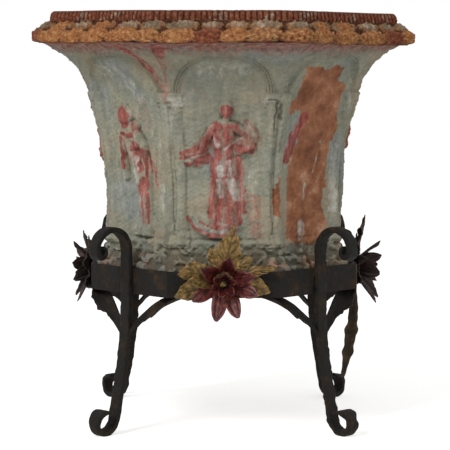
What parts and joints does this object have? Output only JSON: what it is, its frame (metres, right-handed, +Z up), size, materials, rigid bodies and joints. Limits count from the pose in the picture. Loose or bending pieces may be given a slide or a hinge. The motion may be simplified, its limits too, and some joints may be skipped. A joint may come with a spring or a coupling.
{
  "type": "jardiniere on stand",
  "caption": "Eight-sided fired clay planter with a flared moulded rim, lifting out of a wrought iron stand with scrolled legs and leaf and flower sprays.",
  "frame": {"origin": "on the ground, under the middle of the pot", "axes": "+Z up, front towards -Y, +X to the right as seen from the front"},
  "size_m": [0.594, 0.594, 0.653],
  "materials": {
    "painted_clay": "worn matt paint over fired clay",
    "black_iron": "near-black hammered iron with rust",
    "gilded_iron": "worn gold paint over iron",
    "red_painted_iron": "worn dark red paint over iron"
  },
  "bodies": {
    "stand": {"brace_back_left": "black_iron", "brace_back_right": "black_iron", "brace_front_left": "black_iron", "brace_front_right": "black_iron", "brace_left_back": "black_iron", "brace_left_front": "black_iron", "brace_right_back": "black_iron", "brace_right_front": "black_iron", "flower_back": "red_painted_iron", "flower_cup_back": "red_painted_iron", "flower_cup_front": "red_painted_iron", "flower_cup_left": "red_painted_iron", "flower_cup_right": "red_painted_iron", "flower_front": "red_painted_iron", "flower_left": "red_painted_iron", "flower_right": "red_painted_iron", "leg_back_left": "black_iron", "leg_back_right": "black_iron", "leg_front_left": "black_iron", "leg_front_right": "black_iron", "lower_leaves_back": "gilded_iron", "lower_leaves_front": "gilded_iron", "lower_leaves_left": "gilded_iron", "lower_leaves_right": "gilded_iron", "ring_band": "black_iron", "side_leaves_back": "gilded_iron", "side_leaves_front": "gilded_iron", "side_leaves_left": "gilded_iron", "side_leaves_right": "gilded_iron", "stud_back": "gilded_iron", "stud_front": "gilded_iron", "stud_left": "gilded_iron", "stud_right": "gilded_iron", "support_bar_left": "black_iron", "support_bar_right": "black_iron", "top_leaf_back": "gilded_iron", "top_leaf_front": "gilded_iron", "top_leaf_left": "gilded_iron", "top_leaf_right": "gilded_iron", "trailing_leaf": "black_iron"},
    "pot": {"pot": "painted_clay"}
  },
  "joints": [
    {"name": "pot_lift", "type": "slide", "parent": "stand", "child": "pot", "axis": [0, 0, 1], "range_m": [0, 0.16]}
  ]
}
